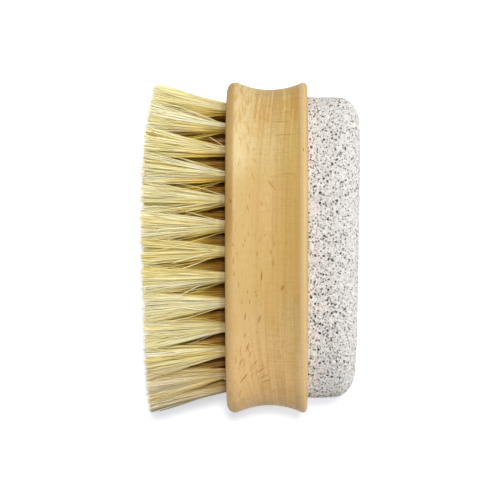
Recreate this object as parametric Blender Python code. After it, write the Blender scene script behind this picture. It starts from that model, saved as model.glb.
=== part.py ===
"""Body brush: oval beech block with a finger groove, fibre tufts on one face, a pumice stone on the other.

Metres, +Z up. The brush lies on its long side. Its length runs along Y, the tufts point to -X and the stone
to +X, and the origin is on the floor below the middle of its box.

Every piece is built in the brush's own axes: X along the block, Y across it, and Z from the trimmed tips of
the tufts to the outer face of the stone. The empty called brush lays them all down together.
"""

from math import cos, pi, sin, tau

import bmesh
import bpy
from mathutils import Vector

# Beech block
BLOCK_LENGTH = 0.125
BLOCK_WIDTH = 0.060
BLOCK_THICKNESS = 0.0300
OVAL_POWER = 2.6  # 2 is an ellipse, and more fills out the corners of the oval
GROOVE_DEPTH = 0.0027
TUFT_SIDE_LIP_RADIUS = 0.0030
STONE_SIDE_LIP_RADIUS = 0.0015

# Tufts: a bundle of fibres is folded and driven into a blind hole
TUFT_LENGTH = 0.0300  # from the block's face to the trimmed tips, in the middle of the brush
FRONT_TRIM = 0.0038  # how much shorter the tufts are cut at the brush's +X end
BACK_TRIM = 0.0012  # and at its -X end
HOLE_DIAMETER = 0.0045
HOLE_DEPTH = 0.0120
OUTER_RING_COUNT = 27
OUTER_RING_INSET = 0.00975  # from the block's edge to the hole centres
OUTER_RING_START = 0.92  # from the block's +X end to the first hole, as a share of the way between two holes
MIDDLE_RING_COUNT = 20
MIDDLE_RING_START = 0.76  # sets its holes between those of the outer ring
INNER_ROW_COUNT = 8
END_LEAN = 0.0055  # how far the tips of the end tufts lean out past their holes
SIDE_LEAN = 0.0045  # the same for the tufts along the sides
STRANDS_PER_TUFT = 8
STRAND_GAP = 0.0003  # between neighbouring strands where they leave the root
TUFT_GAP = 0.0005  # between the tips of neighbouring tufts
TIP_THINNING = 0.6  # how much of its share of the tip circle a strand fills
ROOT_RECESS = 0.0010  # how far the folded root ends inside its hole

# Pumice stone, let into a shallow pocket and glued
STONE_INSET = 0.0055  # from the block's edge to the stone's side
STONE_HEIGHT = 0.0192  # above the block's face
STONE_EDGE_REACH = 0.0095  # how far the rounded edge reaches in over the stone's top
STONE_EDGE_DROP = 0.0085  # and how far down its side
POCKET_DEPTH = 0.0015
GLUE_THICKNESS = 0.0004
GLUE_INSET = 0.0020  # from the stone's side to the edge of the glue

FIT_GAP = 0.0003  # between pieces that touch on the real brush

# Fineness of the round shapes
OVAL_POINTS = 96
GROOVE_STEPS = 10
LIP_STEPS = 3
STONE_EDGE_STEPS = 5
SPACING_SAMPLES = 2000

TUFT_FACE = TUFT_LENGTH
STONE_FACE = TUFT_FACE + BLOCK_THICKNESS
POCKET_FLOOR = STONE_FACE - POCKET_DEPTH
GLUE_BOTTOM = POCKET_FLOOR + FIT_GAP
STONE_BOTTOM = GLUE_BOTTOM + GLUE_THICKNESS + FIT_GAP
STONE_TOP = STONE_FACE + STONE_HEIGHT
# The middle ring lies halfway from the outer ring to the block's centre line, where the straight row is.
INNER_ROW_INSET = BLOCK_WIDTH / 2
MIDDLE_RING_INSET = (OUTER_RING_INSET + INNER_ROW_INSET) / 2
CUT_PAST = 0.002  # how far a cutter runs out past the face it cuts
LAID_ON_ITS_SIDE = (pi / 2, 0, pi / 2)  # turns the brush's own X, Y and Z to the world's Y, Z and X


def clear_scene():
    for obj in list(bpy.data.objects):
        bpy.data.objects.remove(obj)


def material(name, colour, roughness):
    made = bpy.data.materials.new(name)
    made.use_nodes = True
    shader = made.node_tree.nodes["Principled BSDF"]
    shader.inputs["Base Color"].default_value = (*colour, 1.0)
    shader.inputs["Roughness"].default_value = roughness
    shader.inputs["Metallic"].default_value = 0.0
    return made


def add_object(name, mesh, location, look=None, parent=None):
    obj = bpy.data.objects.new(name, mesh)
    obj.location = location
    obj.parent = parent
    if look:
        mesh.materials.append(look)
    bpy.context.scene.collection.objects.link(obj)
    return obj


def add_cutter(name, mesh, location, parent):
    cutter = add_object(name, mesh, location, parent=parent)
    cutter.hide_render = True
    cutter.display_type = "WIRE"
    return cutter


def cut(obj, cutter):
    boolean = obj.modifiers.new("cut_" + cutter.name, "BOOLEAN")
    boolean.operation = "DIFFERENCE"
    boolean.object = cutter


def oval_point(inset, angle):
    """A point of the block's oval outline, drawn smaller by inset all round."""
    power = 2 / OVAL_POWER
    c, s = cos(angle), sin(angle)
    x = (BLOCK_LENGTH / 2 - inset) * abs(c) ** power
    y = (BLOCK_WIDTH / 2 - inset) * abs(s) ** power
    return Vector((x if c > 0 else -x, y if s > 0 else -y, 0))


def points_along_oval(inset, count, start):
    """Points at equal steps along the oval, the first one a share of a step past its +X end."""
    line = [oval_point(inset, tau * k / SPACING_SAMPLES) for k in range(SPACING_SAMPLES + 1)]
    steps = [(b - a).length for a, b in zip(line, line[1:])]
    pitch = sum(steps) / count
    points = []
    walked = 0.0
    for a, b, step in zip(line, line[1:], steps):
        while len(points) < count and pitch * (start + len(points)) <= walked + step:
            share = (pitch * (start + len(points)) - walked) / step
            points.append(a.lerp(b, share))
        walked += step
    return points


def loft(profile):
    """A closed mesh of oval rings. Each profile point is (inset, height), and both ends are flat faces.

    The rings' points start half a step on, so that the brush lies on a flat of its side and not on a corner.
    """
    bm = bmesh.new()
    rings = []
    for inset, height in profile:
        ring = [oval_point(inset, tau * (k + 0.5) / OVAL_POINTS) for k in range(OVAL_POINTS)]
        rings.append([bm.verts.new((p.x, p.y, height)) for p in ring])
    for low, high in zip(rings, rings[1:]):
        for k in range(OVAL_POINTS):
            following = (k + 1) % OVAL_POINTS
            bm.faces.new((low[k], low[following], high[following], high[k]))
    bm.faces.new(rings[0])
    bm.faces.new(rings[-1])
    bmesh.ops.recalc_face_normals(bm, faces=bm.faces)
    return finished_mesh(bm, "oval")


def finished_mesh(bm, name, sharp_angle=pi / 5):
    mesh = bpy.data.meshes.new(name)
    bm.to_mesh(mesh)
    bm.free()
    mesh.shade_smooth()
    mesh.set_sharp_from_angle(angle=sharp_angle)
    return mesh


def arc(centre, radius, first, last, steps):
    """Points (inset, height) on a circle, ends included. Angle 0 points inwards, and a quarter turn up."""
    angles = [first + (last - first) * k / steps for k in range(steps + 1)]
    return [(centre[0] + radius * cos(a), centre[1] + radius * sin(a)) for a in angles]


def block_profile():
    """The block's edge from the tuft face up: a round lip, the hollow of the groove, and a sharper lip."""
    low, high = TUFT_SIDE_LIP_RADIUS, STONE_SIDE_LIP_RADIUS
    # The groove is one arc that runs smoothly into both lips, so its radius and height follow from theirs.
    between_lips = BLOCK_THICKNESS - low - high
    low_to_groove = (between_lips + 2 * GROOVE_DEPTH * (low - high) / between_lips) / 2
    groove_radius = (low_to_groove**2 + GROOVE_DEPTH**2) / (2 * GROOVE_DEPTH) - low
    groove_centre = (GROOVE_DEPTH - groove_radius, low + low_to_groove)
    low_centre = (low, low)
    high_centre = (high, BLOCK_THICKNESS - high)
    low_slope = angle_towards(low_centre, groove_centre)
    high_slope = angle_towards(high_centre, groove_centre)
    return (
        arc(low_centre, low, -pi / 2, low_slope - tau, LIP_STEPS + 1)
        + arc(groove_centre, groove_radius, low_slope - pi, high_slope - pi, GROOVE_STEPS)[1:]
        + arc(high_centre, high, high_slope, pi / 2, LIP_STEPS)[1:]
    )


def angle_towards(start, end):
    """The angle of the way from start to end, counted from 0 to a full turn."""
    return Vector((end[0] - start[0], end[1] - start[1])).angle_signed(Vector((1, 0))) % tau


def tuft_sites():
    """(name, hole centre) of every tuft."""
    rings = (
        ("tuft_outer", points_along_oval(OUTER_RING_INSET, OUTER_RING_COUNT, OUTER_RING_START)),
        ("tuft_middle", points_along_oval(MIDDLE_RING_INSET, MIDDLE_RING_COUNT, MIDDLE_RING_START)),
        ("tuft_inner", inner_row()),
    )
    return [(f"{name}_{k + 1:02}", site) for name, sites in rings for k, site in enumerate(sites)]


def inner_row():
    last = BLOCK_LENGTH / 2 - INNER_ROW_INSET
    return [Vector((last * (1 - 2 * k / (INNER_ROW_COUNT - 1)), 0, 0)) for k in range(INNER_ROW_COUNT)]


def tip_of(site):
    """The middle of a tuft's tips. Tufts lean out more the nearer they are to the block's edge."""
    lengthwise = site.x / (BLOCK_LENGTH / 2 - OUTER_RING_INSET)
    across = site.y / (BLOCK_WIDTH / 2 - OUTER_RING_INSET)
    return site + Vector((END_LEAN * lengthwise * abs(lengthwise) ** 0.3, SIDE_LEAN * across, 0))


def trim(along):
    """How much shorter the tufts are cut at a place along the brush. Its ends are cut round."""
    at_end = FRONT_TRIM if along > 0 else BACK_TRIM
    return at_end * abs(along / (BLOCK_LENGTH / 2)) ** 3


def tip_radius(tip, tips):
    """The tips of a tuft spread until they are TUFT_GAP short of the nearest tuft's."""
    nearest = min((tip - other).length for other in tips if other is not tip)
    return (nearest - TUFT_GAP) / 2


def prism(bm, sides, radius, bottom, top, centre=Vector()):
    """A round bar between two heights, with a fan of triangles on each end. Returns its bottom faces."""
    made = bmesh.ops.create_cone(
        bm,
        cap_ends=True,
        cap_tris=True,
        segments=sides,
        radius1=radius,
        radius2=radius,
        depth=top - bottom,
    )
    bmesh.ops.translate(bm, verts=made["verts"], vec=centre + Vector((0, 0, (bottom + top) / 2)))
    faces = {face for vert in made["verts"] for face in vert.link_faces}
    return [face for face in faces if face.normal.z < -0.5]


def hole_cutter_mesh(sites):
    bm = bmesh.new()
    for site in sites:
        prism(bm, STRANDS_PER_TUFT, HOLE_DIAMETER / 2, -CUT_PAST, HOLE_DEPTH, site)
    return finished_mesh(bm, "tuft_holes")


def tuft_mesh(name, site, lean, spread):
    """A folded root whose end grows into strands, each a slender three-sided bar out to the tips."""
    bm = bmesh.new()
    root_radius = HOLE_DIAMETER / 2 - FIT_GAP / cos(pi / STRANDS_PER_TUFT)
    slices = prism(bm, STRANDS_PER_TUFT, root_radius, ROOT_RECESS, HOLE_DEPTH - FIT_GAP)
    bmesh.ops.inset_individual(bm, faces=slices, thickness=STRAND_GAP / 2, use_even_offset=True)
    outward = spread / root_radius
    tips = bmesh.ops.extrude_discrete_faces(bm, faces=slices)["faces"]
    for tip in tips:
        middle = tip.calc_center_median()
        for vert in tip.verts:
            moved = outward * (middle + TIP_THINNING * (vert.co - middle))
            along, across = lean.x + moved.x, lean.y + moved.y
            vert.co = (along, across, trim(site.x + along) - TUFT_LENGTH)
    return finished_mesh(bm, name)


def stone_profile():
    """The stone's side from the pocket up, with a round edge to its flat top."""
    side_height = STONE_TOP - STONE_BOTTOM - STONE_EDGE_DROP
    quarter = arc((1, 0), 1, pi, pi / 2, STONE_EDGE_STEPS)
    edge = [(STONE_INSET + STONE_EDGE_REACH * i, side_height + STONE_EDGE_DROP * h) for i, h in quarter]
    return [(STONE_INSET, 0)] + edge


def build_block(brush, look, sites):
    block = add_object("beech_block", loft(block_profile()), (0, 0, TUFT_FACE), look, brush)
    cut(block, add_cutter("tuft_holes", hole_cutter_mesh(sites), (0, 0, TUFT_FACE), brush))
    pocket = [(STONE_INSET - FIT_GAP, 0), (STONE_INSET - FIT_GAP, POCKET_DEPTH + CUT_PAST)]
    cut(block, add_cutter("stone_pocket", loft(pocket), (0, 0, POCKET_FLOOR), brush))


def build_tufts(brush, look, named_sites):
    tips = [tip_of(site) for _, site in named_sites]
    for (name, site), tip in zip(named_sites, tips):
        mesh = tuft_mesh(name, site, tip - site, tip_radius(tip, tips))
        add_object(name, mesh, site + Vector((0, 0, TUFT_FACE)), look, brush)


def build_stone(brush, stone_look, glue_look):
    add_object("pumice_stone", loft(stone_profile()), (0, 0, STONE_BOTTOM), stone_look, brush)
    edge = STONE_INSET + GLUE_INSET
    add_object("glue_bed", loft([(edge, 0), (edge, GLUE_THICKNESS)]), (0, 0, GLUE_BOTTOM), glue_look, brush)


def main():
    clear_scene()
    brush = add_object("brush", None, (-STONE_TOP / 2, 0, BLOCK_WIDTH / 2))
    brush.rotation_euler = LAID_ON_ITS_SIDE
    named_sites = tuft_sites()
    build_block(brush, material("oiled_beech", (0.68, 0.44, 0.19), 0.45), [site for _, site in named_sites])
    build_tufts(brush, material("plant_fibre", (0.80, 0.72, 0.45), 0.55), named_sites)
    build_stone(
        brush,
        material("pumice", (0.74, 0.71, 0.68), 0.9),
        material("waterproof_glue", (0.75, 0.70, 0.55), 0.4),
    )


main()
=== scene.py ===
"""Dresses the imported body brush: oiled beech, bundles of fine fibres, porous pumice, and a pale studio.

The brush lies on its long side. X runs from the tuft tips to the stone, Y along the block, and Z up to the
camera.
"""

from math import cos, pi, radians, sin, tau

import bmesh
import bpy
import numpy as np
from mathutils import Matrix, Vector, kdtree, noise


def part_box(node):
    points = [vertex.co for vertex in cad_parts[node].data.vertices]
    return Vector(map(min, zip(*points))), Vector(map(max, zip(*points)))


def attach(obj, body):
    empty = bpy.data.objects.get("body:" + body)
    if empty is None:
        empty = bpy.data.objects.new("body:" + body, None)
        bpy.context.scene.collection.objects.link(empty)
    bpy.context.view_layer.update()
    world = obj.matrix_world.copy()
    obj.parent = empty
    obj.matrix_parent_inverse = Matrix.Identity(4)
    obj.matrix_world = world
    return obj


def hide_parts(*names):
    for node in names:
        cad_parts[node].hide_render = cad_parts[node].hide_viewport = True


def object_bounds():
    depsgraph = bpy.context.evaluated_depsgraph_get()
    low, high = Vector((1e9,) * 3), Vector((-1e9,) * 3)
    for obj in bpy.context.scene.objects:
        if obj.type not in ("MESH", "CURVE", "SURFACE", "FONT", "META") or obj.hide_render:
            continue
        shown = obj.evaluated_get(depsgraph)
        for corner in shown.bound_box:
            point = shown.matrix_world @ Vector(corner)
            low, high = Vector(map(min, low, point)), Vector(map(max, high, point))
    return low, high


MM = 0.001

# Block, as the CAD shapes it
OVAL_POWER = 2.6
GROOVE_DEPTH = 2.7 * MM
TUFT_SIDE_LIP_RADIUS = 3.0 * MM
STONE_SIDE_LIP_RADIUS = 1.5 * MM
HOLE_RADIUS = 2.25 * MM
HOLE_DEPTH = 12.0 * MM
POCKET_GAP = 0.3 * MM
OVAL_SEGMENTS = 420
OVAL_SAMPLES = 8001  # points walked along the oval to space its segments evenly
GROOVE_STEPS = 36
LIP_STEPS = 10
HOLE_SEGMENTS = 28
SHARP_ANGLE = pi / 6  # edges that turn by more than this stay sharp

# Wood, in millimetres: the heart of the tree lay beyond the tuft face, so growth rings are arcs round it
PITH_X = -12.0
PITH_Z = 30.0
TYPICAL_RADIUS = 28.0
RING_FLATNESS = 0.42  # the rings are flattened arcs, so that they cross the face as straight stripes
RING_WANDER = 2.5  # how far the rings stray from true arcs
GRAIN = {  # size of each kind of grain: from the heart out, along the block, and round the heart
    "blush": (5.0, 22.0, 5.0),
    "rings": (1.05, 70.0, 40.0),
    "ring lines": (0.52, 40.0, 30.0),
    "bands": (6.0, 0.55, 3.5),
    "vessels": (0.28, 3.0, 0.28),
    "rays": (7.0, 6.4, 1.15),
    "small rays": (4.0, 3.4, 0.80),
}
END_BARS = (1.30, 8.0, 30.0)  # size of the bars of end grain, in X, Y and Z
FLECK_HEIGHT = 57.5  # over the floor, on the side that faces up
FLECK_REACH = 18.0  # how deep the flecks go into the wood
FLECK_FADE = (1.25, 0.35)  # a fleck fades in between these shares of its half size
FLECK_TONES = {"red": (0.42, 0.13, 0.03), "gold": (0.50, 0.26, 0.03), "brown": (0.38, 0.18, 0.03)}
FLECKS = (  # place in X and Y, length, width, turn in degrees, strength and tone
    (3.6, -10.5, 3.8, 0.70, -6, 1.00, "red"),
    (2.0, -2.3, 1.6, 0.90, 0, 0.80, "gold"),
    (6.9, -1.7, 2.4, 1.00, 0, 0.65, "gold"),
    (8.1, 1.1, 1.8, 1.20, 0, 0.65, "gold"),
    (7.8, -5.8, 2.8, 1.20, 0, 0.90, "gold"),
    (3.8, 15.8, 2.6, 1.00, 15, 0.70, "gold"),
    (7.2, 22.5, 5.0, 0.85, 36, 1.00, "gold"),
    (0.5, 25.6, 3.8, 0.55, 20, 0.65, "gold"),
    (2.8, 2.4, 1.6, 0.90, 0, 0.55, "gold"),
    (4.6, 4.3, 1.2, 0.80, 0, 0.50, "gold"),
    (-6.4, 12.8, 2.9, 0.60, 0, 0.50, "gold"),
    (-5.8, 6.4, 2.1, 0.50, 0, 0.50, "gold"),
    (9.5, -29.8, 1.4, 1.00, 0, 0.50, "gold"),
    (11.1, -14.6, 2.4, 1.20, -25, 0.75, "brown"),
    (-7.5, 16.6, 1.7, 1.05, 0, 0.95, "brown"),
    (18.7, 35.2, 1.4, 0.50, 0, 0.85, "brown"),
    (-6.6, 1.1, 1.5, 0.50, 0, 0.70, "brown"),
    (-6.5, -5.0, 2.6, 0.50, 0, 0.75, "brown"),
    (-6.2, -9.5, 2.2, 0.50, 0, 0.75, "brown"),
    (-5.2, -2.3, 1.7, 0.50, 0, 0.60, "brown"),
    (-4.7, -13.5, 2.2, 0.50, 0, 0.50, "brown"),
    (-3.0, 0.6, 1.5, 0.50, 0, 0.75, "brown"),
    (-2.3, 2.4, 1.7, 0.50, 0, 0.60, "brown"),
    (-1.3, 14.1, 3.5, 0.55, 12, 0.55, "brown"),
    (-0.7, 18.3, 2.2, 0.50, 10, 0.50, "brown"),
    (-1.0, 4.8, 2.4, 0.50, 8, 0.45, "brown"),
    (-1.5, -16.1, 1.5, 0.50, 0, 0.75, "brown"),
    (1.4, -16.0, 1.2, 0.60, 0, 0.65, "brown"),
    (1.8, -17.4, 1.2, 0.60, 0, 0.65, "brown"),
    (-3.6, -19.7, 1.5, 0.50, 0, 0.60, "brown"),
    (-0.7, -19.7, 1.7, 0.55, 0, 0.65, "brown"),
    (-2.3, -24.8, 3.4, 0.60, -8, 0.80, "brown"),
    (2.8, -25.9, 3.8, 0.65, -20, 0.85, "brown"),
    (1.9, -30.7, 1.2, 0.60, 0, 0.45, "brown"),
    (-2.5, -31.9, 2.0, 0.50, -15, 0.65, "brown"),
    (-1.5, -36.0, 3.8, 0.55, -18, 0.85, "brown"),
    (-0.6, -38.7, 2.9, 0.50, -22, 0.65, "brown"),
    (-3.9, -41.3, 3.4, 0.50, -27, 0.80, "brown"),
    (1.4, -41.7, 2.3, 0.60, -38, 0.65, "brown"),
    (-2.9, -47.6, 4.8, 0.60, -38, 0.90, "brown"),
    (3.3, -44.7, 3.9, 0.65, -57, 0.75, "brown"),
    (4.6, -47.0, 4.6, 0.55, -66, 0.65, "brown"),
    (5.2, -48.9, 4.6, 0.55, -70, 0.75, "brown"),
    (0.8, 35.5, 1.5, 0.70, 0, 0.45, "brown"),
    (1.2, 31.4, 1.9, 0.60, 15, 0.45, "brown"),
    (3.2, 33.8, 1.0, 0.60, 0, 0.45, "brown"),
    (-4.2, 39.2, 2.3, 0.50, 25, 0.40, "brown"),
    (-4.7, 30.0, 1.9, 0.50, 5, 0.40, "brown"),
    (-1.8, 28.4, 1.6, 0.50, 10, 0.40, "brown"),
    (4.2, 47.0, 6.0, 0.40, 66, 0.45, "brown"),
    (10.6, 45.8, 7.0, 0.40, 90, 0.80, "brown"),
    (11.7, 49.2, 8.0, 0.40, 90, 0.50, "brown"),
    (11.4, 40.9, 9.0, 0.40, 90, 0.55, "brown"),
    (12.8, 26.5, 7.5, 0.35, 90, 0.60, "brown"),
)

# Stone
STONE_EDGE_REACH = 9.5 * MM
STONE_EDGE_DROP = 8.5 * MM
STONE_EDGE_STEPS = 16
STONE_TILT = 0.0174  # its outer face isn't quite level with the block
STONE_TILT_FROM = 11.0 * MM  # the place along the brush where it stands out as the CAD's
STONE_WEAR = 0.6 * MM  # how much its outer corner is rounded off at the -Y end
STONE_WEAR_CURVE = 6  # more keeps the wear nearer to that end
STONE_VOXEL = 0.34 * MM
UNDERSIDE_REACH = 0.3 * STONE_VOXEL  # faces this near to the stone's foot are its underside
HOLLOW_COUNT = 9000
HOLLOW_RADIUS = (0.40 * MM, 0.75 * MM)
HOLLOW_DEPTH = 0.40  # of its radius
SKIN_ROUGHNESS = 0.10 * MM
SKIN_GRAIN = 0.8 * MM
SKIN_START = 0.5 * MM  # the skin is smooth at the foot and as rough as it gets from here up
PORE_SHAKE = 0.5  # millimetres over which the outlines of pores are pushed about
PORES = {  # cell size in millimetres, smallest and largest radius in a cell, and how soft the rim is
    "small": ((0.56, 0.60, 0.56), 0.20, 0.46, 0.16),
    "medium": ((0.90, 0.98, 0.90), 0.22, 0.46, 0.10),
    "large": ((1.55, 1.70, 1.55), 0.16, 0.34, 0.07),
}

# Fibres
FIBRES_PER_TUFT = 250
FIBRE_STEPS = 7
FIBRE_PLACES = np.linspace(0, 1, FIBRE_STEPS)  # of a fibre's points, from its root to its tip
FIBRE_ROOT_RADIUS = 0.135 * MM
FIBRE_TIP_RADIUS = 0.100 * MM
FIBRE_THICKNESS = (0.7, 1.4)  # the finest and the coarsest, as shares of those radii
FIBRE_BURIED = 2.0 * MM  # how deep in its hole a fibre starts
GOLDEN_TURN = pi * (3 - 5**0.5)  # from one fibre of a bundle to the next, so that they fill a disc evenly
PLACE_SCATTER = 0.05  # of the bundle's radius
OUTER_BUNDLE_RADIUS = 1.62 * MM
INNER_BUNDLE_RADIUS = 2.05 * MM
BUNDLE_FAN = 1.65  # tips reach this share of the CAD tuft's spread
FAN_CURVE = 1.15  # more keeps a bundle narrow near its hole and opens it later
STRAY_CURVE = 1.0
TIP_LEAN = -0.20 * MM  # the tufts lean a little towards the -Y end
TIP_SCATTER = 0.10  # of the bundle's fanned radius
SOFT_LIMIT = 0.92  # tips past this share of the way to the edge are drawn in
FRONT_TRIM = 3.5 * MM  # how much shorter the tufts are cut at the brush's +Y end
FRONT_CURVE = 3.0  # more keeps the cut straight for longer
BACK_TRIM = 1.3 * MM  # and at its -Y end
BACK_CURVE = 0.7
LENGTH_SCATTER = 0.35 * MM
LOCKS_PER_TUFT = 11
LOCK_PULL = 0.42  # how far fibres draw together into locks
LOCK_SCATTER = 0.09
LOCK_TONE_SHARE = 0.35  # how much of a fibre's tone it has from its lock
STRAY_SHARE = 0.07
STRAY_SCATTER = 0.5
STRAY_TRIM = 5.0 * MM  # strays are up to this much shorter
STRAY_BEND = 2.5  # and bend this much more than the other fibres
STRAY_TONE = 0.55  # their tone, as a share of what it would be
LOOSE_HAIRS = 2  # strays of an outer tuft that cross the gap beside it
LOOSE_LIMIT = 46.0 * MM  # tufts past this, at the brush's two ends, have none
LOOSE_SIDE = 0.1  # they grow past this share of the bundle's radius, on its outward side
LOOSE_LEAN = (3.0 * MM, 6.5 * MM)  # how far sideways their tips go
LOOSE_TRIM = (6.0 * MM, 17.0 * MM)  # how much shorter than the tuft they are
LOOSE_THICKNESS = 1.4  # times that of the other fibres
LOOSE_TONE = 0.65
# their share of painted shade
LOOSE_SHADE = 0.15
FLARE = 0.15 * MM  # how much a bundle swells where it leaves its hole
END_FLARE = 0.45 * MM  # and how much more at the brush's two ends
END_FLARE_REACH = 0.16  # over this last share of the brush's half length
FLARE_RISE = 0.1  # share of a fibre's free length over which the swelling grows
FLARE_FADE = 0.6  # how much of it is gone again at the tip
BEND_SCATTER = 0.35 * MM
STRAIGHT_REACH = 0.14  # over this last share of the brush's half length fibres bend less and less
STRAIGHT_BEND = 0.15  # down to this share of their bend
# Painted shade: fibres turn deep gold, then brown, where they lie in shade: at the root, and on a bundle's
# inward and -Y side
OUTER_SHADE = (0.10, 0.80)  # share of painted shade, deep gold at the roots, on a bundle's outward and inward side
INNER_SHADE = (0.95, 1.0)
OUTER_SHADE_REACH = 1.05  # how far up a fibre the painted shade goes
INNER_SHADE_REACH = 1.15
SHADE_AT_CORE = 0.40  # 0 has as little painted shade as a bundle's outward side, and 1 as much as its inward side
SHADE_INWARD = 0.58  # how that grows from the core to the inward rim
SHADE_BACK = 0.42  # and from the core to the rim on the -Y side, away from the light

# Camera: half a metre up, a little towards the stone, with its frame shifted back onto the brush
CAMERA_DISTANCE = 0.5
CAMERA_NEAR = 0.01
SENSOR_WIDTH = 36.0
VIEW_WIDTH = 190.4 * MM  # what the photograph's frame spans at the middle of the brush
CAMERA_X = 10.5 * MM
VIEW_CENTRE = (-1.2 * MM, -0.95 * MM)

# Light
WORLD_STRENGTH = (0.15, 0.48)  # from the -Y end, which stays darker, and from the +Y end
FLOOR_REACH = 3.0
FLOOR_COLOUR = (0.86, 0.86, 0.86)
FLOOR_COLOUR_SEEN = (0.96, 0.96, 0.96)
FLOOR_GLOW = (0.455, 1.0)  # round the brush, and far away from it
FLOOR_GLOW_COLOUR = (0.85, 0.91, 1.0)  # cool, so that the shadow beside the warm wood is a plain grey
GLOW_REACH = (0.25, 0.80)
LAMPS = {  # place, size and power
    "side_key": ((1.00, 0.15, 0.36), 0.8, 4.8),
    "top_key": ((0.06, 0.20, 1.15), 0.16, 7.1),
}

RANDOM_SEED = 7


def node(tree, kind, inputs=None, **settings):
    """Adds a shader node. An input is set to a value, or linked where the value is another node's output."""
    made = tree.nodes.new(kind)
    for name, value in settings.items():
        setattr(made, name, value)
    for name, value in (inputs or {}).items():
        plug(tree, made.inputs[name], value)
    return made


def plug(tree, socket, value):
    """Sets a socket to a value or a colour, or links it where the value is another node's output."""
    if isinstance(value, bpy.types.NodeSocket):
        tree.links.new(value, socket)
    elif socket.type == "RGBA":
        socket.default_value = (*value, 1.0)
    else:
        socket.default_value = value


def principled(name, roughness):
    made = bpy.data.materials.new(name)
    made.use_nodes = True
    tree = made.node_tree
    shader = tree.nodes["Principled BSDF"]
    shader.inputs["Roughness"].default_value = roughness
    return made, tree, shader


def set_sockets(tree, shader, values):
    """Sets or links the inputs of a shader that is there already."""
    for name, value in values.items():
        plug(tree, shader.inputs[name], value)


def millimetres(tree, scale=(1, 1, 1)):
    """The object's coordinates in millimetres, times scale."""
    coords = node(tree, "ShaderNodeTexCoord")
    inputs = {"Vector": coords.outputs["Object"], "Scale": [s / MM for s in scale]}
    return node(tree, "ShaderNodeMapping", inputs).outputs["Vector"]


def stretched(tree, vector, size):
    """The coordinates divided by a grain's size along each of them."""
    inputs = {"Vector": vector, "Scale": [1 / s for s in size]}
    return node(tree, "ShaderNodeMapping", inputs).outputs["Vector"]


def axes(tree, vector):
    """The vector's X, Y and Z."""
    parts = node(tree, "ShaderNodeSeparateXYZ", {"Vector": vector}).outputs
    return parts["X"], parts["Y"], parts["Z"]


def combined(tree, x, y, z):
    return node(tree, "ShaderNodeCombineXYZ", {"X": x, "Y": y, "Z": z}).outputs["Vector"]


def vector_math(tree, operation, inputs):
    return node(tree, "ShaderNodeVectorMath", inputs, operation=operation).outputs["Vector"]


def length(tree, vector):
    return node(tree, "ShaderNodeVectorMath", {0: vector}, operation="LENGTH").outputs["Value"]


def math_node(tree, operation, first, second):
    made = node(tree, "ShaderNodeMath", operation=operation)
    plug(tree, made.inputs[0], first)
    plug(tree, made.inputs[1], second)
    return made.outputs["Value"]


def times(tree, first, *others):
    for other in others:
        first = math_node(tree, "MULTIPLY", first, other)
    return first


def remap(tree, value, low, high, to_low=0.0, to_high=1.0):
    """A smooth step from to_low, where value is low, to to_high, where it is high."""
    inputs = {"Value": value, "From Min": low, "From Max": high, "To Min": to_low, "To Max": to_high}
    made = node(tree, "ShaderNodeMapRange", inputs, interpolation_type="SMOOTHSTEP")
    return made.outputs["Result"]


def noise_node(tree, vector, scale, detail, roughness=0.5):
    inputs = {"Vector": vector, "Scale": scale, "Detail": detail, "Roughness": roughness}
    return node(tree, "ShaderNodeTexNoise", inputs).outputs["Fac"]


def stored(tree, name):
    """A value stored in the mesh."""
    return node(tree, "ShaderNodeAttribute", attribute_name=name).outputs["Fac"]


def mix_colour(tree, factor, first, second, blend="MIX"):
    made = node(tree, "ShaderNodeMix", data_type="RGBA", blend_type=blend)
    sockets = [made.inputs["Factor"]] + [s for s in made.inputs if s.type == "RGBA"]
    for socket, value in zip(sockets, (factor, first, second)):
        plug(tree, socket, value)
    return [s for s in made.outputs if s.type == "RGBA"][0]


def layered(tree, colour, layers, blend="MIX"):
    """Lays colours over the first one, each given as (how much of it shows, the colour)."""
    for share, tone in layers:
        colour = mix_colour(tree, share, colour, tone, blend)
    return colour


def bump(tree, height, distance, strength):
    inputs = {"Height": height, "Distance": distance, "Strength": strength}
    return node(tree, "ShaderNodeBump", inputs).outputs["Normal"]


def spindles(tree, vector, size, smallest, largest, softness):
    """Scattered spindles, each in its own cell of a given size. 1 inside a spindle, and 0 outside."""
    inputs = {"Vector": stretched(tree, vector, size), "Scale": 1.0, "Randomness": 1.0}
    cells = node(tree, "ShaderNodeTexVoronoi", inputs)
    chance = node(tree, "ShaderNodeSeparateColor", {"Color": cells.outputs["Color"]}).outputs["Red"]
    radius = remap(tree, chance, 0.0, 1.0, smallest, largest)
    return remap(tree, math_node(tree, "SUBTRACT", radius, cells.outputs["Distance"]), 0.0, softness)


def wood_coordinates(tree):
    """Two sets of coordinates in millimetres: (from the heart, along, round it), for rings and for rays."""
    wander = noise_node(tree, millimetres(tree, (0.03, 0.006, 0.03)), 1.0, 1.0)
    x, y, z = axes(tree, millimetres(tree))
    out_x = math_node(tree, "SUBTRACT", x, PITH_X)
    out_z = math_node(tree, "SUBTRACT", z, PITH_Z)
    turn = times(tree, math_node(tree, "ARCTAN2", out_x, out_z), TYPICAL_RADIUS)
    made = []
    for flatness in (RING_FLATNESS, 1.0):
        across = times(tree, out_z, flatness)
        radius = length(tree, combined(tree, out_x, 0.0, across))
        radius = math_node(tree, "ADD", radius, times(tree, wander, RING_WANDER))
        made.append(combined(tree, radius, y, turn))
    return made


def fleck(tree, place, x, y, long, wide, turn):
    """One mark in the wood: 1 in its middle, and 0 past its outline."""
    inputs = {
        "Vector": place,
        "Location": (x, y, FLECK_HEIGHT),
        "Rotation": (0, 0, radians(turn)),
        "Scale": (wide / 2, long / 2, FLECK_REACH),
    }
    local = node(tree, "ShaderNodeMapping", inputs, vector_type="TEXTURE").outputs["Vector"]
    return remap(tree, length(tree, local), *FLECK_FADE)


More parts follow.
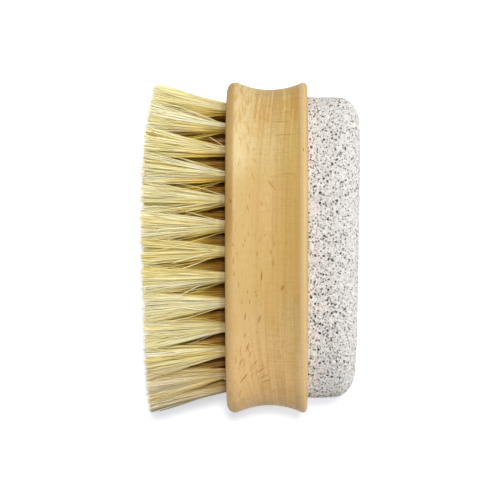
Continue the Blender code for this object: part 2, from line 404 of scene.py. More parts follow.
def fleck_layers(tree, place):
    """The larger marks of the wood as (how much of it shows, tone)."""
    layers = []
    for x, y, long, wide, turn, strength, tone in FLECKS:
        mark = fleck(tree, place, x, y, long, wide, turn)
        layers.append((times(tree, mark, strength), FLECK_TONES[tone]))
    return layers


def beech_tone(tree, x, y):
    """The wood's colour: golden in the middle, paler to one end and rosier to the other. The pale +Y end and
    the lighter -Y end are partly painted light, and the darker tuft-side lip is painted shade.
    """
    golden = (0.635, 0.414, 0.117)
    straw = (0.68, 0.470, 0.153)
    slow = noise_node(tree, millimetres(tree, (0.045, 0.022, 0.04)), 1.0, 2.0)
    shifted = math_node(tree, "ADD", y, times(tree, math_node(tree, "SUBTRACT", slow, 0.5), 90.0))
    # Paler towards the +Y end, where the light comes from: partly the wood's tone, partly painted light
    front = times(tree, remap(tree, y, 22.0, 40.0, 0.0, 0.70), remap(tree, x, 17.0, 7.0))
    tuft_side = remap(tree, x, 5.0, -2.0, 0.0, 0.25)
    short_of_the_end = remap(tree, y, 46.5, 44.0, 0.28, 1.0)
    pale = times(tree, remap(tree, shifted, 8.0, 38.0), remap(tree, x, 4.0, -4.5), short_of_the_end)
    rosy = remap(tree, shifted, -4.0, -40.0, 0.0, 0.9)
    # Lighter and warmer at the -Y end: partly a warmer wood tone, partly painted light that lifts this end,
    # which lies in shade
    back = remap(tree, y, -20.0, -56.0)
    low_stone_side = times(
        tree,
        remap(tree, x, 10.0, 16.0),
        remap(tree, y, 2.0, -14.0),
        remap(tree, y, -50.0, -36.0, 0.0, 0.13),
    )
    layers = (
        (front, (0.76, 0.583, 0.28)),
        (tuft_side, (0.80, 0.62, 0.35)),
        (pale, (0.81, 0.63, 0.32)),
        (rosy, (0.71, 0.485, 0.215)),
        (back, (0.87, 0.57, 0.25)),
        (low_stone_side, (0.52, 0.43, 0.34)),
    )
    colour = layered(tree, mix_colour(tree, remap(tree, shifted, 8.0, 50.0), golden, straw), layers)
    # Painted shade: the rounded lip on the tuft side is darker, as it turns away from the light
    lip = times(tree, remap(tree, x, -6.0, -7.4), remap(tree, y, -8.0, 14.0))
    return mix_colour(tree, lip, colour, (0.73, 0.63, 0.45), "MULTIPLY")


def grain_layers(tree, place, ring_space, grain, vessels, rays):
    """The grain as (how much of it shows, tone).

    Near the tufts the rays are dark dashes. Near the stone fine bands lie across soft ring stripes. The
    cream band on the stone-side lip is a painted highlight.
    """
    pink = (0.70, 0.415, 0.125)
    deep = (0.47, 0.26, 0.06)
    ray_brown = (0.40, 0.20, 0.03)
    end_brown = (0.58, 0.34, 0.08)
    cream = (0.87, 0.65, 0.36)

    x, y, _ = axes(tree, place)
    blush = noise_node(tree, stretched(tree, grain, GRAIN["blush"]), 1.0, 3.0, 0.55)
    rings = noise_node(tree, stretched(tree, ring_space, GRAIN["rings"]), 1.0, 2.0, 0.55)
    ring_lines = noise_node(tree, stretched(tree, ring_space, GRAIN["ring lines"]), 1.0, 1.0)
    bands = noise_node(tree, stretched(tree, grain, GRAIN["bands"]), 1.0, 2.0, 0.6)
    end_bars = noise_node(tree, stretched(tree, place, END_BARS), 1.0, 2.0, 0.6)
    small_rays = spindles(tree, grain, GRAIN["small rays"], -0.04, 0.36, 0.14)

    near_stone = remap(tree, x, -6.0, 12.0)
    end_grain = times(tree, remap(tree, y, 28.0, 56.0), remap(tree, x, -7.0, 5.0))
    at_the_end = remap(tree, y, 43.0, 47.5, 0.0, 0.66)
    # Painted highlight: a cream band along the sharper lip on the stone side, where it catches the light
    painted_lip_highlight = times(tree, remap(tree, x, 16.9, 18.2, 0.0, 0.55), remap(tree, x, 20.4, 18.8))
    ring_share = remap(tree, near_stone, 0.0, 1.0, 0.07, 0.28)
    ring_share = math_node(tree, "ADD", ring_share, times(tree, end_grain, 0.24))
    band_share = remap(tree, near_stone, 0.0, 1.0, 0.04, 0.24)
    band_share = math_node(tree, "ADD", band_share, times(tree, end_grain, 0.14))
    ray_share = remap(tree, near_stone, 0.0, 1.0, 0.36, 0.14)
    return (
        (remap(tree, blush, 0.48, 0.72, 0.0, 0.45), pink),
        (times(tree, remap(tree, rings, 0.44, 0.64), ring_share), deep),
        (times(tree, remap(tree, ring_lines, 0.50, 0.66), times(tree, ring_share, 0.75)), deep),
        (times(tree, remap(tree, end_bars, 0.46, 0.58), at_the_end), end_brown),
        (times(tree, remap(tree, bands, 0.50, 0.68), band_share), deep),
        (remap(tree, vessels, 0.48, 0.74, 0.0, 0.34), deep),
        (times(tree, small_rays, times(tree, ray_share, 0.60)), deep),
        (times(tree, rays, ray_share), ray_brown),
        (painted_lip_highlight, cream),
    )


def beech_material():
    """Oiled beech, with its grain and its larger marks."""
    made, tree, shader = principled("oiled_beech", 0.42)
    ring_space, grain = wood_coordinates(tree)
    place = millimetres(tree)
    x, y, _ = axes(tree, place)
    vessels = noise_node(tree, stretched(tree, grain, GRAIN["vessels"]), 1.0, 2.0, 0.6)
    rays = spindles(tree, grain, GRAIN["rays"], -0.12, 0.38, 0.10)
    colour = beech_tone(tree, x, y)
    colour = layered(tree, colour, grain_layers(tree, place, ring_space, grain, vessels, rays))
    colour = layered(tree, colour, fleck_layers(tree, place))
    relief = math_node(tree, "SUBTRACT", vessels, times(tree, rays, 0.2))
    set_sockets(tree, shader, {
        "Base Color": colour,
        "Roughness": remap(tree, vessels, 0.3, 0.7, 0.38, 0.52),
        "Normal": bump(tree, relief, 0.04 * MM, 0.5),
        "Specular IOR Level": 0.3,
    })
    return made


def strand_tone(tree):
    """From straw to cream, by the tone stored in each strand."""
    straw = (0.80, 0.55, 0.12, 1.0)
    pale_straw = (1.0, 0.91, 0.42, 1.0)
    cream = (1.0, 0.985, 0.88, 1.0)
    ramp = node(tree, "ShaderNodeValToRGB", {"Fac": stored(tree, "tone")})
    stops = ramp.color_ramp.elements
    stops[0].color = straw
    stops[1].color = cream
    stops.new(0.36).color = pale_straw
    return ramp.outputs["Color"]


def fibre_material():
    """Undyed fibre: each strand has its own tone. Painted shade makes it deeper gold and then brown towards
    its root and on the bundles' inward sides, and darker near the block, under its lip and at the -Y end.
    """
    made, tree, shader = principled("plant_fibre", 0.45)
    x, y, _ = axes(tree, millimetres(tree))
    painted_shade = stored(tree, "painted_shade")
    streaks = noise_node(tree, millimetres(tree, (0.25, 3.0, 3.0)), 1.0, 2.0)
    # Random golden streaks, then painted shade: deep gold and then brown where the stored shade is high
    golden = (
        (remap(tree, streaks, 0.5, 0.75, 0.0, 0.30), (0.93, 0.76, 0.28)),
        (remap(tree, painted_shade, 0.0, 0.60), (1.0, 0.745, 0.135)),
        (remap(tree, painted_shade, 0.56, 0.80), (0.65, 0.35, 0.04)),
    )
    colour = layered(tree, strand_tone(tree), golden)
    # Painted shade: darker near the block's face, under its lip, towards the -Y end and along the tufts'
    # slanted -Y outline
    near_wood = times(tree, remap(tree, x, -21.0, -10.4), remap(tree, painted_shade, 0.08, 0.35, 0.25, 1.0))
    at_the_lip = remap(tree, x, -12.6, -10.8)
    at_the_back = remap(tree, y, -40.0, -46.0)
    slanted = math_node(tree, "SUBTRACT", y, times(tree, x, 0.263))
    back_edge = remap(tree, slanted, -49.6, -52.0)
    painted_shadows = (
        (near_wood, (0.58, 0.52, 0.43)),
        (at_the_lip, (0.73, 0.70, 0.66)),
        (at_the_back, (0.93, 0.88, 0.88)),
        (back_edge, (0.56, 0.52, 0.42)),
    )
    set_sockets(tree, shader, {
        "Base Color": layered(tree, colour, painted_shadows, "MULTIPLY"),
        "Roughness": remap(tree, streaks, 0.3, 0.7, 0.35, 0.55),
        "Normal": bump(tree, streaks, 0.02 * MM, 0.4),
        "Specular IOR Level": 0.3,
    })
    return made


def shaken(tree, place):
    """The coordinates, pushed about a little, which makes round pores uneven."""
    inputs = {"Vector": place, "Scale": 1.4, "Detail": 1.0}
    shake = node(tree, "ShaderNodeTexNoise", inputs).outputs["Color"]
    shake = vector_math(tree, "SUBTRACT", {0: shake, 1: (0.5, 0.5, 0.5)})
    shake = vector_math(tree, "SCALE", {0: shake, "Scale": PORE_SHAKE})
    return vector_math(tree, "ADD", {0: place, 1: shake})


def pumice_material():
    """Pumice: a pale grey skin full of pores of three sizes, over the hollows that the mesh has. The pores'
    dark colour and the darker hollows are painted shade for the insides of the holes.
    """
    rosy_white = (0.94, 0.905, 0.865)
    cool_white = (0.94, 0.92, 0.89)
    grey = (0.50, 0.47, 0.44)

    made, tree, shader = principled("pumice", 0.9)
    plain = millimetres(tree)
    x, y, _ = axes(tree, plain)
    place = shaken(tree, plain)
    large, medium, small = (spindles(tree, place, *PORES[kind]) for kind in ("large", "medium", "small"))
    mottle = noise_node(tree, plain, 0.12, 3.0, 0.6)
    grit = noise_node(tree, plain, 2.4, 3.0, 0.65)
    # Grit darkens the skin, but less at the -Y end: painted light that lifts that end, which lies in shade
    grit_with_painted_light = times(tree, remap(tree, grit, 0.42, 0.68, 0.0, 0.70), remap(tree, y, -51.0, -44.0, 0.2, 1.0))
    # The painted shade in the pores is weaker towards the stone's outer face
    pore_shade_share = remap(tree, x, 28.0, 38.0, 1.0, 0.72)
    layers = (
        (grit_with_painted_light, grey),
        # Painted shade: the carved hollows and the pores are darker, as their insides lie in shade
        (times(tree, stored(tree, "hollow"), 0.35), grey),
        (times(tree, small, times(tree, pore_shade_share, 0.58)), (0.33, 0.30, 0.28)),
        (times(tree, medium, times(tree, pore_shade_share, 0.84)), (0.16, 0.145, 0.13)),
        (times(tree, large, times(tree, pore_shade_share, 0.95)), (0.06, 0.05, 0.045)),
    )
    skin = mix_colour(tree, remap(tree, mottle, 0.35, 0.7), rosy_white, cool_white)
    holes = math_node(tree, "ADD", math_node(tree, "ADD", medium, large), times(tree, small, 0.5))
    height = math_node(tree, "SUBTRACT", times(tree, grit, 0.35), holes)
    set_sockets(tree, shader, {
        "Base Color": layered(tree, skin, layers),
        "Roughness": remap(tree, grit, 0.3, 0.7, 0.8, 0.95),
        "Normal": bump(tree, height, 0.25 * MM, 0.7),
    })
    return made


def glue_material():
    made, tree, shader = principled("waterproof_glue", 0.35)
    cloudy = noise_node(tree, millimetres(tree), 0.4, 3.0)
    set_sockets(tree, shader, {
        "Base Color": mix_colour(tree, cloudy, (0.70, 0.64, 0.48), (0.82, 0.77, 0.62)),
        "Normal": bump(tree, cloudy, 0.05 * MM, 0.5),
    })
    return made


class Oval:
    """The block's oval in the YZ plane. Its angles are spread so that points lie at equal steps along it."""

    def __init__(self, low, high, segments):
        self.centre = ((low.y + high.y) / 2, (low.z + high.z) / 2)
        self.half = ((high.y - low.y) / 2, (high.z - low.z) / 2)
        fine = np.linspace(0, tau, OVAL_SAMPLES)
        y, z = self.at(fine, 0.0)
        walked = np.concatenate([[0], np.cumsum(np.hypot(np.diff(y), np.diff(z)))])
        self.angles = np.interp(np.linspace(0, walked[-1], segments, endpoint=False), walked, fine)

    def at(self, angles, inset):
        power = 2 / OVAL_POWER
        c, s = np.cos(angles), np.sin(angles)
        y = self.centre[0] + (self.half[0] - inset) * np.sign(c) * np.abs(c) ** power
        z = self.centre[1] + (self.half[1] - inset) * np.sign(s) * np.abs(s) ** power
        return y, z


def arc(centre, radius, first, last, steps):
    angles = np.linspace(first, last, steps + 1)
    return [(centre[0] + radius * cos(a), centre[1] + radius * sin(a)) for a in angles]


def block_profile(thickness):
    """(inset, height over the tuft face) round the block's edge: a round lip, the groove, a sharper lip."""
    low, high = TUFT_SIDE_LIP_RADIUS, STONE_SIDE_LIP_RADIUS
    between_lips = thickness - low - high
    low_to_groove = (between_lips + 2 * GROOVE_DEPTH * (low - high) / between_lips) / 2
    groove_radius = (low_to_groove**2 + GROOVE_DEPTH**2) / (2 * GROOVE_DEPTH) - low
    groove_centre = Vector((GROOVE_DEPTH - groove_radius, low + low_to_groove))
    low_centre = Vector((low, low))
    high_centre = Vector((high, thickness - high))
    low_slope = (groove_centre - low_centre).angle_signed(Vector((1, 0))) % tau
    high_slope = (groove_centre - high_centre).angle_signed(Vector((1, 0))) % tau
    return (
        arc(low_centre, low, -pi / 2, low_slope - tau, LIP_STEPS)
        + arc(groove_centre, groove_radius, low_slope - pi, high_slope - pi, GROOVE_STEPS)[1:]
        + arc(high_centre, high, high_slope, pi / 2, LIP_STEPS)[1:]
    )


def mesh_of(bm, name):
    mesh = bpy.data.meshes.new(name)
    bm.to_mesh(mesh)
    bm.free()
    return mesh


def loft(name, oval, profile, base_x):
    """A closed mesh of oval rings stacked along X. Each profile point is (inset, height over base_x)."""
    bm = bmesh.new()
    rings = []
    for inset, height in profile:
        y, z = oval.at(oval.angles, inset)
        rings.append([bm.verts.new((base_x + height, py, pz)) for py, pz in zip(y, z)])
    count = len(oval.angles)
    for low, high in zip(rings, rings[1:]):
        for k in range(count):
            following = (k + 1) % count
            bm.faces.new((low[k], low[following], high[following], high[k]))
    bm.faces.new(rings[0])
    bm.faces.new(rings[-1])
    bmesh.ops.recalc_face_normals(bm, faces=bm.faces)
    return mesh_of(bm, name)


def add_object(name, data):
    obj = bpy.data.objects.new(name, data)
    bpy.context.scene.collection.objects.link(obj)
    return obj


def add_piece(name, mesh, look, slot, *stands_for):
    mesh.materials.clear()
    mesh.materials.append(look)
    obj = add_object(name, mesh)
    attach(obj, "root")
    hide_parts(*stands_for)


def evaluated_mesh(mesh, add_modifier):
    """The mesh as it is after one modifier, which add_modifier puts on a scratch object."""
    scratch = add_object("scratch", mesh)
    add_modifier(scratch)
    graph = bpy.context.evaluated_depsgraph_get()
    result = bpy.data.meshes.new_from_object(scratch.evaluated_get(graph))
    bpy.data.objects.remove(scratch)
    return result


def store(mesh, name, values):
    """Stores one value in each vertex of the mesh."""
    attribute = mesh.attributes.new(name, "FLOAT", "POINT")
    attribute.data.foreach_set("value", values)


def tuft_facts():
    """(node name, hole centre, tips' centre, tips' spread) of each tuft, read from the CAD solid."""
    face_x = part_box("beech_block")[0].x
    facts = []
    for name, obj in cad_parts.items():
        if not name.startswith("tuft_"):
            continue
        points = np.array([v.co for v in obj.data.vertices])
        root = points[points[:, 0] > face_x + HOLE_DEPTH / 2]
        tips = points[points[:, 0] < face_x - HOLE_DEPTH / 2]
        site = (root[:, 1:].max(axis=0) + root[:, 1:].min(axis=0)) / 2
        tip = (tips[:, 1:].max(axis=0) + tips[:, 1:].min(axis=0)) / 2
        spread = np.hypot(*(tips[:, 1:] - tip).T).max()
        facts.append((name, site, tip, spread))
    return sorted(facts, key=lambda fact: fact[0])


def hole_cutter(facts, face_x):
    """One round pin through the tuft face for each hole, as deep as the hole on its inner side."""
    bm = bmesh.new()
    for _, site, *_ in facts:
        made = bmesh.ops.create_cone(
            bm,
            cap_ends=True,
            segments=HOLE_SEGMENTS,
            radius1=HOLE_RADIUS,
            radius2=HOLE_RADIUS,
            depth=2 * HOLE_DEPTH,
        )
        for vert in made["verts"]:
            x, y, z = vert.co
            vert.co = (face_x + z, site[0] + x, site[1] + y)
    bmesh.ops.recalc_face_normals(bm, faces=bm.faces)
    return add_object("hole_cutter", mesh_of(bm, "hole_cutter"))


def build_block(look, facts):
    low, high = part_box("beech_block")
    oval = Oval(low, high, OVAL_SEGMENTS)
    stone_low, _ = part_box("pumice_stone")
    pocket_inset = stone_low.y - low.y - POCKET_GAP
    glue_low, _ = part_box("glue_bed")
    thickness = high.x - low.x
    pocket_floor = glue_low.x - POCKET_GAP - low.x
    profile = block_profile(thickness) + [(pocket_inset, thickness), (pocket_inset, pocket_floor)]
    body = loft("block_body", oval, profile, low.x)
    cutter = hole_cutter(facts, low.x)

    def drill(obj):
        modifier = obj.modifiers.new("drill", "BOOLEAN")
        modifier.operation = "DIFFERENCE"
        modifier.object = cutter

    mesh = evaluated_mesh(body, drill)
    bpy.data.objects.remove(cutter)
    mesh.shade_smooth()
    mesh.set_sharp_from_angle(angle=SHARP_ANGLE)
    add_piece("beech_body", mesh, look, "beech", "beech_block")


def stone_profile(height):
    """(inset, height over the stone's foot): a straight side, then a large rounded edge."""
    side = [(0.0, 0.0), (0.0, (height - STONE_EDGE_DROP) / 2)]
    edge = [
        (STONE_EDGE_REACH * (1 - cos(a)), height - STONE_EDGE_DROP * (1 - sin(a)))
        for a in np.linspace(0, pi / 2, STONE_EDGE_STEPS + 1)
    ]
    return side + edge


def build_stone(look):
    low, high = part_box("pumice_stone")
    height = high.x - low.x
    solid = loft("stone_solid", Oval(low, high, OVAL_SEGMENTS), stone_profile(height), low.x)

    def remesh(obj):
        modifier = obj.modifiers.new("grain", "REMESH")
        modifier.mode = "VOXEL"
        modifier.voxel_size = STONE_VOXEL

    mesh = evaluated_mesh(solid, remesh)
    close_underside(mesh, low.x)
    carve_hollows(mesh, low.x)
    tilt_and_wear(mesh, low.x, height, (high.y - low.y) / 2)
    mesh.shade_smooth()
    add_piece("pumice_body", mesh, look, "pumice", "pumice_stone")


def close_underside(mesh, foot_x):
    """Makes the stone's underside, which lies in the pocket out of sight, one flat face."""
    bm = bmesh.new()
    bm.from_mesh(mesh)
    under = [f for f in bm.faces if f.calc_center_median().x < foot_x + UNDERSIDE_REACH]
    bmesh.ops.delete(bm, geom=under, context="FACES")
    rim = [e for e in bm.edges if e.is_boundary]
    bmesh.ops.contextual_create(bm, geom=rim)
    bmesh.ops.recalc_face_normals(bm, faces=bm.faces)
    bm.to_mesh(mesh)
    bm.free()


def vertex_vectors(mesh, name):
    """One row for each vertex, with its place (co) or its normal."""
    values = np.empty(len(mesh.vertices) * 3)
    mesh.vertices.foreach_get(name, values)
    return values.reshape(-1, 3)


def carve_hollows(mesh, foot_x):
    """Sinks shallow round hollows into the stone's skin. Attribute hollow is 1 in the middle of each, and
    the material paints shade with it.
    """
    random = np.random.default_rng(RANDOM_SEED)
    points = vertex_vectors(mesh, "co")
    normals = vertex_vectors(mesh, "normal")
    count = len(points)
    centres = points[random.integers(0, count, HOLLOW_COUNT)]
    smallest, largest = HOLLOW_RADIUS
    radii = random.uniform(smallest, largest, HOLLOW_COUNT)
    tree = kdtree.KDTree(HOLLOW_COUNT)
    for index, centre in enumerate(centres):
        tree.insert(centre, index)
    tree.balance()

    hollow = np.zeros(count)
    depth = np.zeros(count)
    for index, point in enumerate(points):
        place = Vector(point)
        for _, near, distance in tree.find_range(place, largest):
            share = max(0, 1 - (distance / radii[near]) ** 2)
            hollow[index] = max(hollow[index], share)
            depth[index] = max(depth[index], radii[near] * HOLLOW_DEPTH * share)
        depth[index] += SKIN_ROUGHNESS * noise.noise(place / SKIN_GRAIN)
    on_show = np.clip((points[:, 0] - foot_x) / SKIN_START, 0, 1)
    mesh.vertices.foreach_set("co", (points - normals * (depth * on_show)[:, None]).ravel())
    store(mesh, "hollow", hollow)
    mesh.update()


def tilt_and_wear(mesh, foot_x, height, half_length):
    """Tilts the stone's outer face a little, and rounds off its corner at the -Y end."""
    for vert in mesh.vertices:
        outward = (vert.co.x - foot_x) / height
        worn = outward**2 * max(0.0, -vert.co.y / half_length) ** STONE_WEAR_CURVE
        vert.co.x += outward * STONE_TILT * (vert.co.y - STONE_TILT_FROM)
        vert.co.y += STONE_WEAR * worn


def away_from_middle(site):
    """The direction in Y and Z from the middle of the brush out to a tuft."""
    away = site - brush_middle
    return away / np.linalg.norm(away)


def within_brush(tips):
    """Draws in the tips that would stand out past the block's oval."""
    half = np.array([cad_high.y, cad_high.z]) - brush_middle
    away = (tips - brush_middle) / half
    reach = (np.abs(away) ** OVAL_POWER).sum(axis=1) ** (1 / OVAL_POWER)
    room = 1 - SOFT_LIMIT
    drawn_in = SOFT_LIMIT + room * np.tanh(np.maximum(reach - SOFT_LIMIT, 0) / room)
    return brush_middle + (tips - brush_middle) * (np.minimum(reach, drawn_in) / reach)[:, None]


def bundle_places(random):
    """Each fibre's place in its bundle, in Y and Z, as a share of the bundle's radius."""
    order = np.arange(FIBRES_PER_TUFT) + 0.5
    turn = order * GOLDEN_TURN
    reach = np.sqrt(order / FIBRES_PER_TUFT)
    disc = np.stack([reach * np.cos(turn), reach * np.sin(turn)], axis=1)
    return disc + random.normal(0, PLACE_SCATTER, disc.shape)


def gathered_tips(random, disc):
    """Each fibre's lock, whether it strays, and its tip's place: drawn to its lock's middle, or astray."""
    locks = random.uniform(-1, 1, (LOCKS_PER_TUFT, 2))
    lock = np.linalg.norm(disc[:, None, :] - locks[None, :, :], axis=2).argmin(axis=1)
    members = [disc[lock == k] for k in range(LOCKS_PER_TUFT)]
    centres = np.array([group.mean(axis=0) if len(group) else (0, 0) for group in members])
    tips = disc + (centres[lock] - disc) * LOCK_PULL + random.normal(0, TIP_SCATTER, disc.shape)
    tips += random.normal(0, LOCK_SCATTER, centres.shape)[lock]
    stray = random.random(len(disc)) < STRAY_SHARE
    tips[stray] += random.normal(0, STRAY_SCATTER, (stray.sum(), 2))
    return lock, stray, tips


def trimmed_tips(random, along_brush, stray):
    """The X at which each fibre is cut off."""
    front_trim = FRONT_TRIM * np.abs(along_brush) ** FRONT_CURVE
    back_trim = BACK_TRIM * np.abs(along_brush) ** BACK_CURVE
    trim = np.where(along_brush > 0, front_trim, back_trim)
    tip_x = cad_low.x + trim + random.normal(0, LENGTH_SCATTER, len(along_brush))
    tip_x[stray] += random.uniform(0, STRAY_TRIM, stray.sum())
    return tip_x


def loose_hairs(random, site, disc, stray):
    """The few outward strays that cross the gap beside a tuft, and how far their tips go in Y and Z."""
    away = away_from_middle(site)
    beside = np.array([-away[1], away[0]])
    loose = np.flatnonzero(stray & (disc @ away > LOOSE_SIDE))[:LOOSE_HAIRS]
    lean = random.uniform(*LOOSE_LEAN, loose.size) * random.choice((-1.0, 1.0), loose.size)
    return loose, lean[:, None] * beside


def sideways_paths(random, disc, roots, tips, along_brush, stray, outside):
    """How the fibres run in Y and Z. Outside is how far along its free length each step of a fibre lies."""
    bow = random.normal(0, BEND_SCATTER, roots.shape)
    bow[stray] *= STRAY_BEND
    bow *= np.clip((1 - np.abs(along_brush)) / STRAIGHT_REACH, STRAIGHT_BEND, 1)[:, None]
    fan = outside[None, :] ** np.where(stray, STRAY_CURVE, FAN_CURVE)[:, None]
    sideways = roots[:, None, :] + (tips - roots)[:, None, :] * fan[:, :, None]
    sideways += bow[:, None, :] * np.sin(pi * outside)[None, :, None]
    near_end = np.clip((np.abs(along_brush) - (1 - END_FLARE_REACH)) / END_FLARE_REACH, 0, 1)
    swelling = FLARE + END_FLARE * near_end
    near_hole = np.clip(outside / FLARE_RISE, 0, 1) * (1 - FLARE_FADE * outside)
    return sideways + disc[:, None, :] * swelling[:, None, None] * near_hole[None, :, None]


def fibre_paths(random, hair_random, outer, site, tip, spread):
    """Centre lines of one tuft's fibres as (fibre, step, xyz), and each one's lock and place.

    It also tells which fibres stray, and which of these are loose hairs.
    """
    disc = bundle_places(random)
    lock, stray, gathered = gathered_tips(random, disc)
    roots = site + disc * (OUTER_BUNDLE_RADIUS if outer else INNER_BUNDLE_RADIUS)
    tips = within_brush(tip + gathered * spread * BUNDLE_FAN) + np.array([TIP_LEAN, 0])
    along_brush = (tips[:, 0] - brush_middle[0]) / (cad_high.y - brush_middle[0])
    tip_x = trimmed_tips(random, along_brush, stray)
    loose = []
    if outer and abs(site[0]) < LOOSE_LIMIT:
        loose, lean = loose_hairs(hair_random, site, disc, stray)
        tips[loose] = within_brush(tips[loose] + lean)
        tip_x[loose] = cad_low.x + hair_random.uniform(*LOOSE_TRIM, loose.size)
    face_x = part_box("beech_block")[0].x
    start_x = face_x + FIBRE_BURIED
    buried = FIBRE_BURIED / (FIBRE_BURIED + face_x - cad_low.x)
    outside = np.clip((FIBRE_PLACES - buried) / (1 - buried), 0, 1)
    sideways = sideways_paths(random, disc, roots, tips, along_brush, stray, outside)
    x = start_x + (tip_x - start_x)[:, None] * FIBRE_PLACES[None, :]
    return np.concatenate([x[:, :, None], sideways], axis=2), lock, disc, stray, loose


def fibre_mesh(random, name, paths, loose):
    """Three-sided tapering fibres round their centre lines."""
    count, steps, _ = paths.shape
    radius = FIBRE_ROOT_RADIUS + (FIBRE_TIP_RADIUS - FIBRE_ROOT_RADIUS) * FIBRE_PLACES
    radius = radius[None, :] * random.uniform(*FIBRE_THICKNESS, count)[:, None]
    radius[loose] = FIBRE_ROOT_RADIUS * LOOSE_THICKNESS
    turn = random.uniform(0, tau, count)[:, None] + np.array([0, tau / 3, 2 * tau / 3])[None, :]
    around = np.stack([np.zeros_like(turn), np.cos(turn), np.sin(turn)], axis=2)
    points = paths[:, :, None, :] + around[:, None, :, :] * radius[:, :, None, None]

    index = np.arange(count * steps * 3).reshape(count, steps, 3)
    following = np.roll(index, -1, axis=2)
    corners = [index[:, :-1], index[:, 1:], following[:, 1:], following[:, :-1]]
    quads = np.stack(corners, axis=-1).reshape(-1, 4)
    caps = index[:, -1, ::-1].reshape(-1, 3)
    mesh = bpy.data.meshes.new(name)
    mesh.from_pydata(points.reshape(-1, 3).tolist(), [], quads.tolist() + caps.tolist())
    return mesh


def fibre_tones(random, lock, stray, loose):
    """How pale each fibre is, from 0 to 1. The fibres of a lock are alike."""
    own = random.beta(1.2, 0.9, len(lock))
    of_lock = random.random(LOCKS_PER_TUFT)[lock]
    tones = (1 - LOCK_TONE_SHARE) * own + LOCK_TONE_SHARE * of_lock
    tones = np.where(stray, STRAY_TONE * tones, tones)
    tones[loose] = LOOSE_TONE
    return tones


def fibre_painted_shade(outer, site, disc, loose):
    """Painted shade of each fibre at each of its steps, which the material turns gold: most at the root, on
    the bundle's inward and -Y side.
    """
    inward = SHADE_AT_CORE - SHADE_INWARD * disc @ away_from_middle(site) - SHADE_BACK * disc[:, 0]
    outward_gold, inward_gold = OUTER_SHADE if outer else INNER_SHADE
    gold = outward_gold + (inward_gold - outward_gold) * np.clip(inward, 0, 1)
    gold[loose] = LOOSE_SHADE
    reach = OUTER_SHADE_REACH if outer else INNER_SHADE_REACH
    return gold[:, None] * np.clip(1 - FIBRE_PLACES / reach, 0, 1)[None, :]


def build_tuft(random, hair_random, look, name, site, tip, spread):
    outer = "outer" in name
    paths, lock, disc, stray, loose = fibre_paths(random, hair_random, outer, site, tip, spread)
    mesh = fibre_mesh(random, name + "_fibres", paths, loose)
    tones = fibre_tones(random, lock, stray, loose)
    # painted shade of each fibre, which the material turns into deep gold and then brown
    gold = fibre_painted_shade(outer, site, disc, loose)
    store(mesh, "tone", np.repeat(tones, FIBRE_STEPS * 3))
    store(mesh, "painted_shade", np.repeat(gold.ravel(), 3))
    mesh.shade_flat()
    add_piece("fibres_" + name.removeprefix("tuft_"), mesh, look, "fibre", name)


def dress_glue():
    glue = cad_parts["glue_bed"]
    glue.data.materials.clear()
    glue.data.materials.append(glue_material())


def build_floor():
    """Pale floor. What the camera sees of it glows, so that only the deepest shadow shows."""
    made, tree, shader = principled("pale_floor", 0.9)
    seen = node(tree, "ShaderNodeLightPath").outputs["Is Camera Ray"]
    place = node(tree, "ShaderNodeTexCoord").outputs["Object"]
    glow = remap(tree, length(tree, place), *GLOW_REACH, *FLOOR_GLOW)
    set_sockets(tree, shader, {
        "Base Color": mix_colour(tree, seen, FLOOR_COLOUR, FLOOR_COLOUR_SEEN),
        "Specular IOR Level": 0.1,
        "Emission Color": FLOOR_GLOW_COLOUR,
        "Emission Strength": times(tree, seen, glow),
    })
    mesh = bpy.data.meshes.new("studio_floor")
    signs = ((-1, -1), (1, -1), (1, 1), (-1, 1))
    mesh.from_pydata([(FLOOR_REACH * x, FLOOR_REACH * y, 0) for x, y in signs], [], [(0, 1, 2, 3)])
    mesh.materials.append(made)
    floor = add_object("studio_floor", mesh)


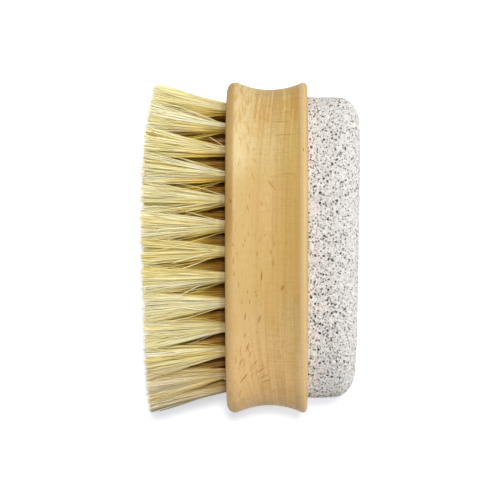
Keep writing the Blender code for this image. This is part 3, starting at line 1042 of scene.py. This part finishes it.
def build_world():
    """Pale light from all round, stronger from the +Y end. The camera and reflections see plain white."""
    world = bpy.data.worlds.new("studio")
    world.use_nodes = True
    tree = world.node_tree
    path = node(tree, "ShaderNodeLightPath")
    seen = math_node(tree, "MAXIMUM", path.outputs["Is Camera Ray"], path.outputs["Is Glossy Ray"])
    toward = node(tree, "ShaderNodeTexCoord").outputs["Generated"]
    _, toward_front, _ = axes(tree, toward)
    ambient = remap(tree, toward_front, -1.0, 1.0, *WORLD_STRENGTH)
    set_sockets(tree, tree.nodes["Background"], {
        "Color": (1.0, 1.0, 1.0),
        "Strength": math_node(tree, "MAXIMUM", ambient, seen),
    })
    bpy.context.scene.world = world


def add_lamp(name, place, target, size, power):
    lamp = bpy.data.lights.new(name, "AREA")
    lamp.shape = "SQUARE"
    lamp.size = size
    lamp.energy = power
    obj = add_object(name, lamp)
    obj.location = place
    obj.rotation_euler = (Vector(target) - Vector(place)).to_track_quat("-Z", "Y").to_euler()


def build_camera(middle):
    camera = bpy.data.cameras.new("camera")
    camera.sensor_width = SENSOR_WIDTH
    camera.lens = SENSOR_WIDTH * CAMERA_DISTANCE / VIEW_WIDTH
    camera.shift_x = (VIEW_CENTRE[0] - CAMERA_X) / VIEW_WIDTH
    camera.clip_start = CAMERA_NEAR
    obj = add_object("camera", camera)
    obj.location = (middle.x + CAMERA_X, middle.y + VIEW_CENTRE[1], middle.z + CAMERA_DISTANCE)
    bpy.context.scene.camera = obj


def build_studio(middle):
    build_floor()
    build_world()
    for name, (place, size, power) in LAMPS.items():
        add_lamp(name, place, middle, size, power)
    build_camera(middle)
    bpy.context.scene.view_settings.view_transform = "Standard"


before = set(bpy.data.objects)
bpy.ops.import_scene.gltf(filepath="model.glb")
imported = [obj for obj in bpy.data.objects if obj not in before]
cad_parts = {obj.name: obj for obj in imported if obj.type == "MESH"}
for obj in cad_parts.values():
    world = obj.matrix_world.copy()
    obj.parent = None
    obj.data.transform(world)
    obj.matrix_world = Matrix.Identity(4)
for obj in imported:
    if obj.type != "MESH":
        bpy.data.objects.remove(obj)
cad_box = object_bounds()
cad_low, cad_high = (Vector(corner) for corner in cad_box)
brush_middle = np.array([cad_low.y + cad_high.y, cad_low.z + cad_high.z]) / 2

facts = tuft_facts()
build_block(beech_material(), facts)
build_stone(pumice_material())
dress_glue()
fibre_look = fibre_material()
fibre_random = np.random.default_rng(RANDOM_SEED)
hair_random = np.random.default_rng(RANDOM_SEED)
for fact in facts:
    build_tuft(fibre_random, hair_random, fibre_look, *fact)
build_studio((cad_low + cad_high) / 2)
